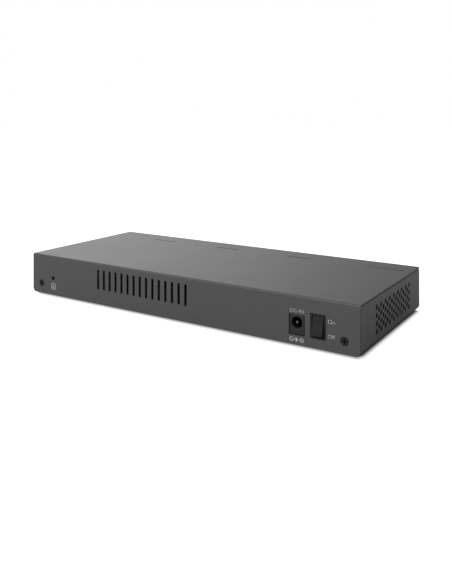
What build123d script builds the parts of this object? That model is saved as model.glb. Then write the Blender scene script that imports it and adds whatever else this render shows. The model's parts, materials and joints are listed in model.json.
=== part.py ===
from build123d import *
import os
from math import cos, radians, sin, tan

os.makedirs("parts", exist_ok=True)

# Eight-port desktop network switch in a folded steel case, in millimetres.
# +X is to the right seen from the front, +Y points to the rear and +Z up.
# The origin lies under the middle of the case, on the surface that the feet stand on.
# Places on the rear panel are given as seen from behind, to the right of its middle.

# Case
case_length = 240.0
case_depth = 102.0
case_height = 26.5
sheet = 0.8  # steel thickness
floor_fold = 2.0  # inner radius of the folds between the floor and the side walls
edge_fold = 0.2  # inner radius of every other fold
lid_gap = 0.3  # between the return flanges and the top plate
panel_gap = 0.1  # between the tray and the rear panel
side_flange = 5.0
front_flange = 14.0
corner_seam = 0.3  # open seam where the front wall meets a side wall
seam_start = 2.0  # closed metal above the floor fold
tab_width = 14.0  # screw tabs folded in behind the rear panel
tab_height = 16.0
lip_height = 4.0  # upturned rear edge of the floor
lip_inset = 18.0

# Feet
foot_height = 1.5
foot_radius = 6.0
foot_taper = 0.5
foot_inset_x = 20.0
foot_inset_y = 15.0

# Keyholes for hanging the case on a wall
keyhole_spacing = 120.0
keyhole_entry_radius = 3.8
keyhole_slot_radius = 2.0
keyhole_slot_length = 8.0

# Side vents: a grid of round holes with a second grid between its rows
vent_hole_radius = 1.5
vent_hole_columns = 9
vent_hole_rows = 4
vent_hole_pitch = 7.0
vent_hole_row_pitch = 4.43
vent_field_y = -1.0
vent_field_height = 13.25  # middle of the field above the underside

# Rear vent slots
vent_slot_count = 15
vent_slot_pitch = 5.0
vent_slot_width = 1.8
vent_slot_length = 13.0
vent_slot_x = -23.8  # middle of the row
vent_slot_height = 15.9

# Hooks that hold the front edge of the cover: the first starts beside the side flange,
# and the others are given by their start from the left side; each has its own length
hook_side_gap = 0.3
hook_starts = (69.3, 125.6, 181.8)
hook_lengths = (24.7, 17.2, 17.7, 18.8)
hook_setback = 16.0  # slit behind the front face
hook_slit = 1.0
hook_reach = 5.0
hook_gap = 0.15

# Case screws
case_screw_inset = 8.5  # from the side
case_screw_height = 6.8
case_screw_head_radius = 2.35
case_screw_radius = 1.25
case_screw_length = 6.5
case_screw_gap = 0.08
cross_width = 0.6
cross_depth = 0.5
cross_share = 0.62  # length of the cross recess over the head's width

# Earth point
earth_inset = 19.6  # from the side
earth_height = 11.2
earth_thread_radius = 1.25
earth_panel_gap = 0.1
earth_nut_radius = 3.0
earth_nut_length = 2.6

# Circuit board and what it stands on
post_height = 3.0
post_radius = 2.75
post_bore_gap = 0.05
board_thickness = 1.6
board_front_gap = 2.7  # behind the front wall
board_rear_gap = 3.2  # ahead of the rear panel
board_side_gap = 11.2
board_corner = 1.5
board_screw_radius = 1.45
board_screw_gap = 0.2
board_screw_head_radius = 2.75
board_screw_head_height = 1.6
board_screw_engagement = 2.4
post_inset_x = 6.0
post_block_gap = 11.2  # between the middle posts and the socket blocks
post_front_setback = 29.0  # behind the front face
post_rear_setback = 17.0  # ahead of the rear face
insulator_thickness = 0.3
insulator_margin = 2.0
insulator_hole_gap = 0.5
solder_gap = 0.2  # around each leg that goes through the board
leg_reach = 0.8  # how far legs stand out under the board

# DC inlet
inlet_inset = 35.55  # from the side
inlet_width = 9.0
inlet_height = 10.7
inlet_depth = 13.5
inlet_recess = 0.15
inlet_gap = 0.2
inlet_bore_radius = 3.15
inlet_roof = 0.95  # wall above the bore
inlet_bore_depth = 10.0
inlet_edge = 0.4
inlet_pin_radius = 1.05
inlet_pin_setback = 0.4
inlet_pin_flange_radius = 1.8
inlet_pin_flange = 1.6
inlet_pin_root_radius = 1.4
inlet_pin_gap = 0.05
leaf_width = 2.0
leaf_thickness = 0.3
leaf_length = 7.0
leaf_channel_depth = 1.0
leaf_gap = 0.15
inlet_leg_width = 2.2
inlet_leg_thickness = 0.6

# Rocker switch
switch_inset = 23.24  # from the side
switch_width = 8.8
switch_height = 12.7
switch_depth = 14.0
switch_side_wall = 1.05
switch_floor = 1.0
switch_gap_x = 0.1
switch_gap_z = 0.25
rocker_swing = 12.0  # degrees each way
rocker_rise = 2.3  # pivot to the crease of the cap
rocker_lean = 3.0  # degrees that each half of the cap leans out from flat
rocker_half = 5.15  # crease to the end of the cap, before it is turned
rocker_shoulder = 0.2  # pivot to the foot of the cap's ends
rocker_root_half = 2.6
rocker_root = 2.2
rocker_edge = 0.25
rocker_recess = 0.2  # pressed end behind the switch's frame
rocker_side_gap = 0.35
rocker_end_gap = 0.12
rocker_pin_radius = 0.8
rocker_pin_length = 0.95
rocker_pin_gap = 0.05
plunger_radius = 0.8
plunger_reach = 5.6  # pivot to the plunger's tip
plunger_seat = 0.9  # pivot to the plunger's seat inside the rocker
plunger_gap = 0.05
contact_tilt = 8.0  # degrees each way
contact_gap = 0.5  # between the plunger and the see-saw contact at mid travel
contact_length = 7.8
contact_width = 2.4
contact_thickness = 0.4
contact_pivot_radius = 0.45  # rib that the contact rocks on
terminal_thickness = 0.6
terminal_width = 1.5
terminal_spread = 3.5
terminal_pivot_gap = 0.15
terminal_rest_gap = 0.3
terminal_slot_gap = 0.15
terminal_first_leg = 1.3  # behind the switch
terminal_leg_pitch = 1.4

# Socket blocks, four ports each
port_count = 4
port_pitch = 13.97
block_inset = 48.0  # middle of the right block from the side
block_pitch = 62.0
block_end_wall = 1.7
block_back_wall = 1.6
block_roof = 0.8
shield_thickness = 0.25
shield_back_gap = 2.9  # behind the wires
shield_gap = 0.05
shield_proud = 0.5
block_opening_gap = 0.3
port_width = 11.7
port_height = 6.75
port_depth = 13.0
step_width = 6.1
step_height = 1.4
notch_width = 4.0
notch_height = 1.3
port_floor = 1.0
port_rim = 0.15  # of the moulding left in sight around each port
wire_count = 8
wire_pitch = 1.016
wire_size = 0.36
wire_roof_gap = 0.35
wire_front = 3.2
wire_fold_length = 5.4
wire_fold_drop = 1.75
wire_back_gap = 2.6  # behind the moulding
wire_slot_gap = 0.15
lamp_width = 2.4
lamp_height = 1.5
lamp_depth = 5.0
lamp_spread = 4.4
lamp_gap = 0.08
lamp_rise = 0.45  # above the port's roof

# Status lamps and their light guide
status_count = 3
status_pitch = 6.0
status_inset = 22.0  # middle lamp from the side
status_height = 12.0
guide_radius = 1.4
guide_gap = 0.15
guide_proud = 0.3
guide_thickness = 3.4
guide_margin = 2.2
guide_wall_gap = 0.4
guide_pocket_height = 1.6
guide_leg = 1.2
guide_edge = 0.4
led_length = 1.6
led_width = 1.2
led_height = 0.9

# Mode slide switch
mode_inset = 44.0  # from the side
mode_width = 9.0
mode_height = 4.6
mode_depth = 5.0
mode_can = 0.3
mode_wall_gap = 0.3
mode_travel = 2.0
mode_stop_gap = 0.2
mode_slide_gap = 0.1
slider_depth = 2.1
slider_lift = 0.3
knob_width = 2.0
knob_height = 2.0
knob_proud = 1.0
knob_edge = 0.3
knob_slot_gap = 0.3
mode_pin_radius = 0.3
mode_pin_pitch = 2.5

# Parts on the board: sizes are length along X, width along Y and height. Insets are from the
# nearer side of the case.
chip_size = (20.0, 20.0, 1.4)
chip_inset = 96.0
chip_y = 6.0
chip_leg_count = 16
chip_leg_pitch = 1.1
chip_leg_width = 0.45
chip_leg_length = 1.2
chip_leg_height = 0.5
pad_size = (18.0, 18.0, 0.5)
sink_size = (28.0, 28.0)
sink_base = 2.0
sink_height = 9.0
fin_count = 8
fin_thickness = 1.2
poe_chip_size = (8.0, 8.0, 0.9)
poe_chip_insets = (134.0, 58.0)
poe_chip_y = 2.0
transformer_size = (7.0, 12.6, 3.6)
transformer_gap = 1.2  # behind the shields
capacitor_radius = 5.0
capacitor_height = 16.0
capacitor_groove = 0.5
capacitor_groove_height = 2.2
capacitor_count = 3
capacitor_pitch = 12.0
capacitor_rear_gap = 19.0  # ahead of the rear face
inductor_size = (12.0, 12.0, 6.0)
inductor_edge = 1.5
inductor_insets = (36.0, 54.0)
inductor_y = 8.0
transistor_size = (6.5, 6.0, 2.3)
transistor_inset = 70.0
transistor_y = (12.0, 3.0)
fuse_size = (7.3, 4.4, 3.0)
fuse_inset = 36.0
fuse_y = 24.0
memory_size = (5.3, 5.3, 1.8)
memory_inset = 74.0
memory_y = 8.0
crystal_size = (11.0, 4.6, 3.8)
crystal_inset = 96.0
crystal_y = 25.0
crystal_edge = 2.0
ceramic_size = (2.0, 1.25, 1.2)
ceramic_pitch = 4.0
ceramic_columns = 4
ceramic_rows = 3
ceramic_inset = 44.0
ceramic_y = 22.0

# Sizes and places worked out from those above
floor_bend = floor_fold + sheet
edge_bend = edge_fold + sheet
half_length = case_length / 2
rear_face = case_depth / 2
front_face = -case_depth / 2
underside = foot_height
top_face = underside + case_height
floor_top = underside + sheet
plate_under = top_face - sheet
tray_top = plate_under - lid_gap
tray_rear = rear_face - sheet - panel_gap
board_bottom = floor_top + post_height
board_top = board_bottom + board_thickness
board_half_length = half_length - sheet - board_side_gap
board_front = front_face + sheet + board_front_gap
board_rear = rear_face - sheet - board_rear_gap
wall_back = front_face + sheet
leg_end = board_bottom - leg_reach
on_top = (Align.CENTER, Align.CENTER, Align.MIN)

# Planes on the outside of the two panels, with X as seen from outside, Y up and Z outwards
rear_plane = Plane(origin=(0, rear_face, 0), x_dir=(-1, 0, 0), z_dir=(0, 1, 0))
front_plane = Plane(origin=(0, front_face, 0), x_dir=(1, 0, 0), z_dir=(0, -1, 0))


# Tray: a block with the tray's outline, less a smaller one, keeps one sheet thickness in the folds
def tray_block(inset, rear_end):
    with BuildPart() as block:
        front_end = front_face + inset
        with BuildSketch(Plane.XY.offset(underside + inset)):
            with Locations((0, (front_end + rear_end) / 2)):
                Rectangle(case_length - 2 * inset, rear_end - front_end)
        extrude(amount=tray_top - underside - 2 * inset)
        fillet(block.edges().filter_by(Axis.Y).group_by(Axis.Z)[0], floor_bend - inset)
        upper_edges = block.edges().filter_by(Axis.Y).group_by(Axis.Z)[-1]
        front_edges = block.faces().sort_by(Axis.Y)[0].edges()
        fillet(upper_edges + front_edges, edge_bend - inset)
    return block.part


# Outline of a port: the plug's body, the step under it and the notch for its latch
def port_outline(grow):
    with BuildSketch(Plane.XY) as outline:
        for width, bottom, height in (
            (port_width, port_floor + notch_height + step_height, port_height),
            (step_width, port_floor + notch_height, step_height),
            (notch_width, port_floor, notch_height),
        ):
            with Locations((0, board_top + bottom + height / 2)):
                Rectangle(width + 2 * grow, height + 2 * grow)
    return outline.sketch


port_roof = board_top + port_floor + notch_height + step_height + port_height
port_spots = [port_pitch * (n - (port_count - 1) / 2) for n in range(port_count)]
block_centres = (
    ("left", half_length - block_inset - block_pitch),
    ("right", half_length - block_inset),
)
block_width = (port_count - 1) * port_pitch + port_width + 2 * block_end_wall
block_height = port_roof - board_top + lamp_rise + lamp_height + block_roof
block_depth = port_depth + block_back_wall
shield_depth = (
    block_depth + wire_back_gap + wire_size / 2 + shield_back_gap + 2 * shield_thickness
)
shield_width = block_width + 2 * (shield_gap + shield_thickness)
shield_top = board_top + block_height + shield_gap + shield_thickness
shield_front = front_face - shield_proud
block_front = shield_front + shield_thickness

post_x = (
    post_inset_x - board_half_length,
    block_centres[0][1] - shield_width / 2 - post_block_gap,
    board_half_length - post_inset_x,
)
post_spots = [
    (x, y)
    for x in post_x
    for y in (front_face + post_front_setback, rear_face - post_rear_setback)
]
chip_spot = (half_length - chip_inset, chip_y)
poe_chip_spots = [(half_length - inset, poe_chip_y) for inset in poe_chip_insets]
capacitor_spots = [
    (post_x[1] - capacitor_pitch * (n + 1), rear_face - capacitor_rear_gap)
    for n in range(capacitor_count)
]
inductor_spots = [(inset - half_length, inductor_y) for inset in inductor_insets]
transistor_spots = [(transistor_inset - half_length, y) for y in transistor_y]
fuse_spot = (fuse_inset - half_length, fuse_y)
memory_spot = (half_length - memory_inset, memory_y)
crystal_spot = (half_length - crystal_inset, crystal_y)
ceramic_spot = (half_length - ceramic_inset, ceramic_y)
case_screw_x = half_length - case_screw_inset
earth_x = earth_inset - half_length
inlet_x = half_length - inlet_inset
switch_x = half_length - switch_inset
mode_x = mode_inset - half_length
status_x = status_inset - half_length
case_screw_places = [
    rear_plane.location * Location((x, underside + case_screw_height, 0))
    for x in (-case_screw_x, case_screw_x)
]
keyhole_spots = [(-keyhole_spacing / 2, 0), (keyhole_spacing / 2, 0)]
status_spots = [status_x + status_pitch * (n - (status_count - 1) / 2) for n in range(status_count)]

# Places in the rocker switch: up from the pivot and out from it, as a point of a plane along Y and Z
def turned(up, out, degrees):
    """The point after a turn about the pivot that takes the upper end of the rocker in."""
    angle = radians(degrees)
    return (up * cos(angle) + out * sin(angle), out * cos(angle) - up * sin(angle))


rocker_tip = rocker_rise + rocker_half * tan(radians(rocker_lean))
rocker_reach, pressed_out = turned(rocker_half, rocker_tip, rocker_swing)
switch_centre_z = board_top + switch_height / 2
pivot_y = rear_face - rocker_recess - pressed_out
# The foot of each end of the cap is as far from the pivot as the opening's end lets it swing
rocker_foot = (rocker_reach**2 - rocker_shoulder**2) ** 0.5


def switch_point(up, out):
    return (pivot_y + out, switch_centre_z + up)


contact_plane = plunger_reach + contact_gap + contact_thickness / 2
switch_back = rear_face - switch_depth
contact_back = contact_plane + contact_thickness / 2
contact_dip = terminal_spread * sin(radians(contact_tilt))
terminal_tops = (
    (terminal_spread, contact_back + contact_dip + terminal_rest_gap),
    (0, contact_plane + contact_pivot_radius + terminal_pivot_gap),
    (-terminal_spread, contact_back + contact_dip + terminal_rest_gap),
)
terminal_legs = [
    switch_back - terminal_first_leg - terminal_leg_pitch * (2 - n) for n in range(3)
]

inlet_face = rear_face - inlet_recess
inlet_back = inlet_face - inlet_depth
bore_z = board_top + inlet_height - inlet_roof - inlet_bore_radius
leaf_leg_y = inlet_back - leaf_gap - leaf_thickness / 2
pin_leg_y = inlet_back - inlet_pin_flange - inlet_leg_thickness / 2
mode_front = wall_back + mode_wall_gap
slider_height = mode_height - mode_can - mode_slide_gap - slider_lift
mode_z = board_top + slider_lift + slider_height / 2
base_front = mode_front + mode_can + slider_depth + 2 * mode_slide_gap
base_depth = mode_front + mode_depth - base_front
mode_pin_y = base_front + base_depth / 2
guide_front = wall_back + guide_wall_gap
guide_y = guide_front + guide_thickness / 2

with BuildPart() as base_chassis:
    add(tray_block(0, tray_rear))
    add(tray_block(sheet, tray_rear + sheet), mode=Mode.SUBTRACT)
    # Mouth between the return flanges
    with BuildSketch(Plane.XY.offset(tray_top - sheet)):
        with Locations((0, (front_face + front_flange + rear_face) / 2)):
            Rectangle(case_length - 2 * side_flange, case_depth - front_flange)
    extrude(amount=sheet, mode=Mode.SUBTRACT)
    # Lip and screw tabs behind the rear panel
    with BuildSketch(Plane.XZ.offset(-tray_rear)):
        with Locations((0, underside + lip_height / 2)):
            Rectangle(case_length - 2 * lip_inset, lip_height)
        with Locations(
            (-half_length + (tab_width + sheet) / 2, underside + floor_bend + tab_height / 2),
            (half_length - (tab_width + sheet) / 2, underside + floor_bend + tab_height / 2),
        ):
            Rectangle(tab_width, tab_height)
    extrude(amount=sheet)
    with BuildSketch(rear_plane):
        with Locations(
            (-case_screw_x, underside + case_screw_height),
            (case_screw_x, underside + case_screw_height),
        ):
            Circle(case_screw_radius + case_screw_gap)
    extrude(amount=-(3 * sheet + panel_gap), mode=Mode.SUBTRACT)
    # Openings of the front wall
    with BuildSketch(front_plane):
        for side, centre in block_centres:
            with Locations((centre, (board_top + shield_top) / 2)):
                Rectangle(
                    shield_width + 2 * block_opening_gap,
                    shield_top - board_top + 2 * block_opening_gap,
                )
        with Locations([(x, underside + status_height) for x in status_spots]):
            Circle(guide_radius + guide_gap)
        with Locations((mode_x, mode_z)):
            RectangleRounded(
                knob_width + mode_travel + 2 * knob_slot_gap,
                knob_height + 2 * knob_slot_gap,
                knob_slot_gap,
            )
    extrude(amount=-2 * sheet, mode=Mode.SUBTRACT)
    # Open corner seams
    seam_bottom = underside + floor_bend + seam_start
    with BuildSketch(Plane.XY.offset(seam_bottom)):
        with Locations(
            (-half_length + sheet / 2, wall_back + corner_seam / 2),
            (half_length - sheet / 2, wall_back + corner_seam / 2),
        ):
            Rectangle(2 * sheet, corner_seam)
    extrude(amount=tray_top - seam_bottom, mode=Mode.SUBTRACT)
    # Side vents through both walls
    with BuildSketch(Plane.YZ):
        with Locations((vent_field_y, underside + vent_field_height)):
            with GridLocations(
                vent_hole_pitch, vent_hole_row_pitch, vent_hole_columns, vent_hole_rows
            ):
                Circle(vent_hole_radius)
            with GridLocations(
                vent_hole_pitch, vent_hole_row_pitch, vent_hole_columns - 1, vent_hole_rows - 1
            ):
                Circle(vent_hole_radius)
    extrude(amount=half_length, both=True, mode=Mode.SUBTRACT)
    # Keyholes
    with BuildSketch(Plane.XY.offset(underside)):
        with Locations(keyhole_spots):
            Circle(keyhole_entry_radius)
        with Locations([(x, y + keyhole_slot_length / 2) for x, y in keyhole_spots]):
            SlotCenterToCenter(keyhole_slot_length, 2 * keyhole_slot_radius, rotation=90)
    extrude(amount=sheet, mode=Mode.SUBTRACT)
base_chassis.part.label = "base_chassis"
export_step(base_chassis.part, "parts/base_chassis.step")

with BuildPart() as top_cover:
    # Top plate and rear panel, one sheet folded along the rear edge
    with BuildSketch(Plane.YZ.offset(-half_length)):
        with BuildLine():
            Polyline(
                (front_face, top_face),
                (rear_face, top_face),
                (rear_face, underside),
                (rear_face - sheet, underside),
                (rear_face - sheet, plate_under),
                (front_face, plate_under),
                close=True,
            )
        make_face()
    extrude(amount=case_length)
    inner_fold = top_cover.edges().filter_by(Axis.X).sort_by_distance(
        (-half_length, rear_face - sheet, plate_under)
    )[0]
    outer_fold = top_cover.edges().filter_by(Axis.X).sort_by_distance(
        (-half_length, rear_face, top_face)
    )[0]
    fillet(outer_fold, edge_bend)
    fillet(inner_fold, edge_bend - sheet)
    fillet(top_cover.edges().filter_by(Axis.Y).group_by(Axis.Z)[0], floor_bend)
    fillet(top_cover.edges().filter_by(Axis.Z).group_by(Axis.Y)[0], edge_bend)
    # Cut-outs of the rear panel
    with BuildSketch(rear_plane):
        with Locations((earth_x, underside + earth_height)):
            Circle(earth_thread_radius + earth_panel_gap)
        with Locations((vent_slot_x, underside + vent_slot_height)):
            with GridLocations(vent_slot_pitch, vent_slot_length, vent_slot_count, 1):
                SlotOverall(vent_slot_length, vent_slot_width, rotation=90)
        with Locations((inlet_x, board_top + inlet_height / 2)):
            Rectangle(inlet_width + 2 * inlet_gap, inlet_height + 2 * inlet_gap)
        with Locations((switch_x, switch_centre_z)):
            Rectangle(switch_width + 2 * switch_gap_x, switch_height + 2 * switch_gap_z)
    extrude(amount=-2 * sheet, mode=Mode.SUBTRACT)
    # Flared holes for the heads of the case screws
    with Locations(case_screw_places):
        with Locations((0, 0, -sheet)):
            Cone(
                case_screw_radius + case_screw_gap,
                case_screw_head_radius + case_screw_gap,
                sheet,
                align=on_top,
                mode=Mode.SUBTRACT,
            )
    # Slits near the front edge, each with a hook that reaches under the tray's front flange
    hook_top = tray_top - sheet - hook_gap
    hook_y = front_face + hook_setback
    for hook_start, hook_length in zip((side_flange + hook_side_gap, *hook_starts), hook_lengths):
        hook_end_x = hook_start - half_length
        with BuildSketch(Plane.XY.offset(plate_under)):
            with Locations((hook_end_x + hook_length / 2, hook_y)):
                Rectangle(hook_length, hook_slit)
        extrude(amount=sheet, mode=Mode.SUBTRACT)
        with BuildSketch(Plane.YZ.offset(hook_end_x)):
            with BuildLine():
                Polyline(
                    (hook_y + hook_slit / 2, plate_under + sheet / 2),
                    (hook_y + hook_slit / 2 + sheet, plate_under + sheet / 2),
                    (hook_y + hook_slit / 2 + sheet, hook_top - sheet),
                    (hook_y + hook_slit / 2 + sheet - hook_reach, hook_top - sheet),
                    (hook_y + hook_slit / 2 + sheet - hook_reach, hook_top),
                    (hook_y + hook_slit / 2, hook_top),
                    close=True,
                )
            make_face()
        extrude(amount=hook_length)
top_cover.part.label = "top_cover"
export_step(top_cover.part, "parts/top_cover.step")

with BuildPart() as cover_screws:
    with Locations(case_screw_places):
        with Locations((0, 0, -sheet)):
            Cone(case_screw_radius, case_screw_head_radius, sheet, align=on_top)
            with Locations((0, 0, sheet - case_screw_length)):
                Cylinder(case_screw_radius, case_screw_length - sheet, align=on_top)
        for turn in (0, 90):
            with Locations(Location((0, 0, -cross_depth), (0, 0, turn))):
                Box(
                    2 * cross_share * case_screw_head_radius,
                    cross_width,
                    cross_depth,
                    align=on_top,
                    mode=Mode.SUBTRACT,
                )
cover_screws.part.label = "cover_screws"
export_step(cover_screws.part, "parts/cover_screws.step")

with BuildPart() as earth_nut:
    with BuildSketch(Plane.XZ.offset(sheet - rear_face)):
        with Locations((-earth_x, underside + earth_height)):
            Circle(earth_nut_radius)
            Circle(earth_thread_radius, mode=Mode.SUBTRACT)
    extrude(amount=earth_nut_length)
earth_nut.part.label = "earth_nut"
export_step(earth_nut.part, "parts/earth_nut.step")

with BuildPart() as rubber_feet:
    with Locations([
        (x, y, 0)
        for x in (foot_inset_x - half_length, half_length - foot_inset_x)
        for y in (front_face + foot_inset_y, rear_face - foot_inset_y)
    ]):
        Cone(foot_radius - foot_taper, foot_radius, foot_height, align=on_top)
rubber_feet.part.label = "rubber_feet"
export_step(rubber_feet.part, "parts/rubber_feet.step")

with BuildPart() as insulating_sheet:
    with BuildSketch(Plane.XY.offset(floor_top)):
        with Locations((0, (board_front + board_rear) / 2)):
            Rectangle(
                2 * board_half_length - 2 * insulator_margin,
                board_rear - board_front - 2 * insulator_margin,
            )
        with Locations(post_spots):
            Circle(post_radius + insulator_hole_gap, mode=Mode.SUBTRACT)
        with Locations(keyhole_spots):
            Circle(keyhole_entry_radius + insulator_hole_gap, mode=Mode.SUBTRACT)
        with Locations([(x, y + keyhole_slot_length / 2) for x, y in keyhole_spots]):
            SlotCenterToCenter(
                keyhole_slot_length,
                2 * keyhole_entry_radius,
                rotation=90,
                mode=Mode.SUBTRACT,
            )
    extrude(amount=insulator_thickness)
insulating_sheet.part.label = "insulating_sheet"
export_step(insulating_sheet.part, "parts/insulating_sheet.step")

with BuildPart() as board_posts:
    with BuildSketch(Plane.XY.offset(floor_top)):
        with Locations(post_spots):
            Circle(post_radius)
            Circle(board_screw_radius + post_bore_gap, mode=Mode.SUBTRACT)
    extrude(amount=post_height)
board_posts.part.label = "board_posts"
export_step(board_posts.part, "parts/board_posts.step")

with BuildPart() as main_board:
    with BuildSketch(Plane.XY.offset(board_bottom)):
        with Locations((0, (board_front + board_rear) / 2)):
            RectangleRounded(2 * board_half_length, board_rear - board_front, board_corner)
        with Locations(post_spots):
            Circle(board_screw_radius + board_screw_gap, mode=Mode.SUBTRACT)
        for width, thickness, leg_y in (
            (leaf_width, leaf_thickness, leaf_leg_y),
            (inlet_leg_width, inlet_leg_thickness, pin_leg_y),
        ):
            with Locations((-inlet_x, leg_y)):
                Rectangle(width + 2 * solder_gap, thickness + 2 * solder_gap, mode=Mode.SUBTRACT)
        with Locations([(-switch_x, leg_y) for leg_y in terminal_legs]):
            Rectangle(
                terminal_width + 2 * solder_gap,
                terminal_thickness + 2 * solder_gap,
                mode=Mode.SUBTRACT,
            )
        with Locations((mode_x, mode_pin_y)):
            with GridLocations(mode_pin_pitch, 1, 3, 1):
                Circle(mode_pin_radius + solder_gap, mode=Mode.SUBTRACT)
    extrude(amount=board_thickness)
main_board.part.label = "main_board"
export_step(main_board.part, "parts/main_board.step")

with BuildPart() as board_screws:
    with Locations([(x, y, board_top) for x, y in post_spots]):
        Cylinder(board_screw_head_radius, board_screw_head_height, align=on_top)
        with Locations((0, 0, -board_thickness - board_screw_engagement)):
            Cylinder(
                board_screw_radius, board_thickness + board_screw_engagement, align=on_top
            )
        with Locations((0, 0, board_screw_head_height - cross_depth)):
            for turn in (0, 90):
                with Locations(Location((0, 0, 0), (0, 0, turn))):
                    Box(
                        2 * cross_share * board_screw_head_radius,
                        cross_width,
                        cross_depth,
                        align=on_top,
                        mode=Mode.SUBTRACT,
                    )
board_screws.part.label = "board_screws"
export_step(board_screws.part, "parts/board_screws.step")

# DC inlet: moulding with a round bore, and a channel under the bore for the leaf contact
leaf_top = bore_z - inlet_bore_radius - leaf_gap
leaf_end = inlet_face - inlet_bore_depth + leaf_length
pin_plane = Plane(origin=(-inlet_x, inlet_face, bore_z), x_dir=(-1, 0, 0), z_dir=(0, 1, 0))

with BuildPart() as inlet_housing:
    with BuildSketch(Plane.XY.offset(board_top)):
        with Locations((-inlet_x, (inlet_face + inlet_back) / 2)):
            Rectangle(inlet_width, inlet_depth)
    extrude(amount=inlet_height)
    fillet(inlet_housing.faces().sort_by(Axis.Y)[-1].edges(), inlet_edge)
    with BuildSketch(pin_plane):
        Circle(inlet_bore_radius)
    extrude(amount=-inlet_bore_depth, mode=Mode.SUBTRACT)
    # Seat of the centre pin, right through the back wall
    with BuildSketch(pin_plane.offset(-inlet_bore_depth)):
        Circle(inlet_pin_root_radius + inlet_pin_gap)
    extrude(amount=-(inlet_depth - inlet_bore_depth), mode=Mode.SUBTRACT)
    # Channel of the leaf contact, open to the back, and the slots of both legs
    with BuildSketch(Plane.YZ.offset(-inlet_x)):
        with BuildLine():
            Polyline(
                (inlet_back, leaf_top - leaf_thickness - leaf_gap),
                (inlet_back, leaf_top + leaf_gap),
                (inlet_face - inlet_bore_depth, leaf_top + leaf_gap),
                (inlet_face - inlet_bore_depth, bore_z - inlet_bore_radius / 2),
                (leaf_end + leaf_gap, bore_z - inlet_bore_radius / 2),
                (leaf_end + leaf_gap, leaf_top - leaf_thickness - leaf_gap),
                close=True,
            )
        make_face()
    extrude(amount=leaf_width / 2 + leaf_gap, both=True, mode=Mode.SUBTRACT)
inlet_housing.part.label = "inlet_housing"
export_step(inlet_housing.part, "parts/inlet_housing.step")

with BuildPart() as inlet_pin:
    with BuildSketch(pin_plane.offset(-inlet_pin_setback)):
        Circle(inlet_pin_radius)
    extrude(amount=-(inlet_bore_depth - inlet_pin_setback))
    fillet(inlet_pin.edges().group_by(Axis.Y)[-1], inlet_pin_radius / 2)
    with BuildSketch(pin_plane.offset(-inlet_bore_depth)):
        Circle(inlet_pin_root_radius)
    extrude(amount=-(inlet_depth - inlet_bore_depth))
    with BuildSketch(pin_plane.offset(-inlet_depth)):
        Circle(inlet_pin_flange_radius)
    extrude(amount=-inlet_pin_flange)
inlet_pin.part.label = "inlet_pin"
export_step(inlet_pin.part, "parts/inlet_pin.step")

with BuildPart() as inlet_leaf:
    leaf_z = leaf_top - leaf_thickness / 2
    with BuildSketch(Plane.YZ.offset(-inlet_x)):
        with BuildLine():
            Polyline((leaf_end, leaf_z), (leaf_leg_y, leaf_z), (leaf_leg_y, leg_end))
        trace(line_width=leaf_thickness)
        with Locations((leaf_leg_y, leaf_z)):
            Circle(leaf_thickness / 2)
    extrude(amount=leaf_width / 2, both=True)
inlet_leaf.part.label = "inlet_leaf"
export_step(inlet_leaf.part, "parts/inlet_leaf.step")

with BuildPart() as inlet_terminal:
    with BuildSketch(Plane.XZ.offset(inlet_pin_flange - inlet_back)):
        with Locations((-inlet_x, bore_z)):
            Circle(inlet_pin_flange_radius)
        with Locations((-inlet_x, (bore_z + leg_end) / 2)):
            Rectangle(inlet_leg_width, bore_z - leg_end)
    extrude(amount=inlet_leg_thickness)
inlet_terminal.part.label = "inlet_terminal"
export_step(inlet_terminal.part, "parts/inlet_terminal.step")

# Rocker switch. The rocker rests with its upper end pressed in, which is on.
switch_plane = Plane.YZ.offset(-switch_x)
rocker_half_width = switch_width / 2 - switch_side_wall - rocker_side_gap
seat_y, seat_z = switch_point(*turned(0, -plunger_seat, rocker_swing))
out_up, out_back = turned(0, 1, rocker_swing)
plunger_plane = Plane(
    origin=(-switch_x, seat_y, seat_z), x_dir=(1, 0, 0), z_dir=(0, out_back, out_up)
)

with BuildPart() as switch_housing:
    with BuildSketch(Plane.XY.offset(board_top)):
        with Locations((-switch_x, rear_face - switch_depth / 2)):
            Rectangle(switch_width, switch_depth)
    extrude(amount=switch_height)
    with BuildSketch(rear_plane):
        with Locations((switch_x, switch_centre_z)):
            Rectangle(
                switch_width - 2 * switch_side_wall, 2 * (rocker_reach + rocker_end_gap)
            )
    extrude(amount=-(switch_depth - switch_floor), mode=Mode.SUBTRACT)
    with BuildSketch(switch_plane):
        with Locations(switch_point(0, 0)):
            Circle(rocker_pin_radius + rocker_pin_gap)
    extrude(amount=switch_width / 2, both=True, mode=Mode.SUBTRACT)
    with BuildSketch(rear_plane.offset(-switch_depth)):
        with Locations([(switch_x, switch_centre_z + up) for up, depth in terminal_tops]):
            Rectangle(
                terminal_width + 2 * terminal_slot_gap, terminal_thickness + 2 * terminal_slot_gap
            )
    extrude(amount=switch_floor, mode=Mode.SUBTRACT)
switch_housing.part.label = "switch_housing"
export_step(switch_housing.part, "parts/switch_housing.step")

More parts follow.
